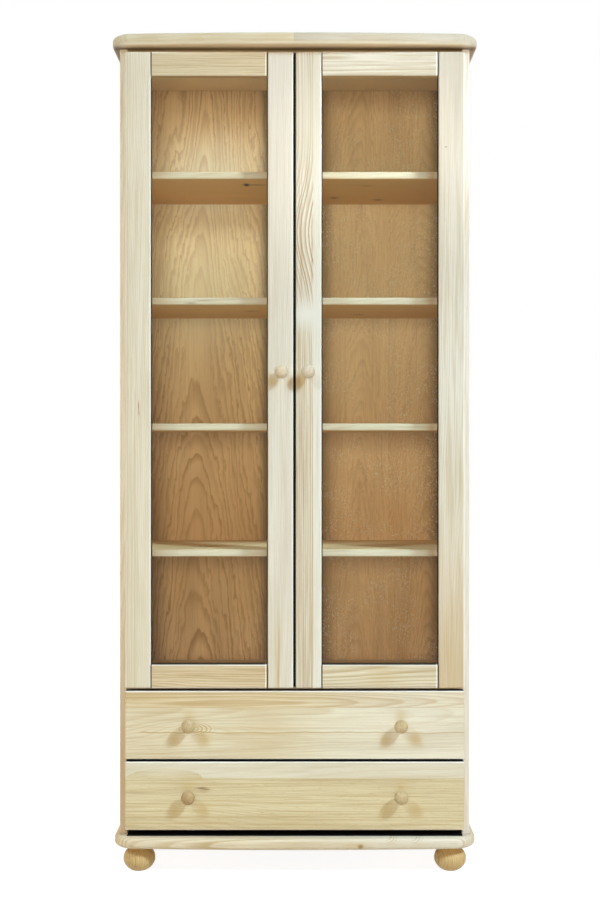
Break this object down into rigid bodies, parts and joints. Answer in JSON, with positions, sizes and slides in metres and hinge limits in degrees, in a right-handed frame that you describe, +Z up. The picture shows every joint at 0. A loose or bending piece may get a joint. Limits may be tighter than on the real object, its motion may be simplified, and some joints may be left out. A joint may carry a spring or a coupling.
{
  "type": "display cabinet",
  "caption": "Tall glazed display cabinet in solid pine with hinged doors, open shelf bays, drawers below and turned feet.",
  "frame": {"origin": "on the floor, in the middle of the width and of the depth from the rear edge to the noses of the knobs", "axes": "+X to the right seen from the front, -Y towards the front, +Z up"},
  "size_m": [0.856, 0.405, 1.95],
  "materials": {
    "pine_board": "raw planed pine, grain along the board",
    "pine_front": "raw planed pine, pale",
    "pine_shelf": "raw planed pine",
    "pine_turned": "raw turned pine",
    "plywood": "raw pine plywood with cathedral grain",
    "glass": "clear float glass",
    "hinge_steel": "nickel-plated pressed steel"
  },
  "bodies": {
    "cabinet": {"top_board": "pine_board", "base_board": "pine_board", "side_panel_left": "pine_board", "side_panel_right": "pine_board", "back_panel": "plywood", "drawer_deck": "pine_board", "shelf_1": "pine_shelf", "shelf_2": "pine_shelf", "shelf_3": "pine_shelf", "shelf_4": "pine_shelf", "foot_front_left": "pine_turned", "foot_front_right": "pine_turned", "foot_rear_left": "pine_turned", "foot_rear_right": "pine_turned", "runner_lower_left": "pine_board", "runner_lower_right": "pine_board", "runner_upper_left": "pine_board", "runner_upper_right": "pine_board", "hinge_left_1_arm": "hinge_steel", "hinge_left_2_arm": "hinge_steel", "hinge_left_3_arm": "hinge_steel", "hinge_right_1_arm": "hinge_steel", "hinge_right_2_arm": "hinge_steel", "hinge_right_3_arm": "hinge_steel"},
    "door_left": {"door_left_hinge_stile": "pine_front", "door_left_lock_stile": "pine_front", "door_left_top_rail": "pine_front", "door_left_bottom_rail": "pine_front", "door_left_glass": "glass", "door_left_glazing_bead": "pine_front", "door_left_knob": "pine_turned", "hinge_left_1_cup": "hinge_steel", "hinge_left_2_cup": "hinge_steel", "hinge_left_3_cup": "hinge_steel"},
    "door_right": {"door_right_hinge_stile": "pine_front", "door_right_lock_stile": "pine_front", "door_right_top_rail": "pine_front", "door_right_bottom_rail": "pine_front", "door_right_glass": "glass", "door_right_glazing_bead": "pine_front", "door_right_knob": "pine_turned", "hinge_right_1_cup": "hinge_steel", "hinge_right_2_cup": "hinge_steel", "hinge_right_3_cup": "hinge_steel"},
    "drawer_lower": {"drawer_lower_front": "pine_front", "drawer_lower_side_left": "pine_board", "drawer_lower_side_right": "pine_board", "drawer_lower_back": "pine_board", "drawer_lower_bottom": "plywood", "drawer_lower_knob_left": "pine_turned", "drawer_lower_knob_right": "pine_turned"},
    "drawer_upper": {"drawer_upper_front": "pine_front", "drawer_upper_side_left": "pine_board", "drawer_upper_side_right": "pine_board", "drawer_upper_back": "pine_board", "drawer_upper_bottom": "plywood", "drawer_upper_knob_left": "pine_turned", "drawer_upper_knob_right": "pine_turned"}
  },
  "joints": [
    {"name": "door_left_hinge", "type": "hinge", "parent": "cabinet", "child": "door_left", "pos_m": [-0.387, -0.1575, 0.4296], "axis": [0, 0, -1], "range_deg": [0, 95]},
    {"name": "door_right_hinge", "type": "hinge", "parent": "cabinet", "child": "door_right", "pos_m": [0.387, -0.1575, 0.4296], "axis": [0, 0, 1], "range_deg": [0, 95]},
    {"name": "drawer_lower_slide", "type": "slide", "parent": "cabinet", "child": "drawer_lower", "axis": [0, -1, 0], "range_m": [0, 0.26]},
    {"name": "drawer_upper_slide", "type": "slide", "parent": "cabinet", "child": "drawer_upper", "axis": [0, -1, 0], "range_m": [0, 0.26]}
  ]
}
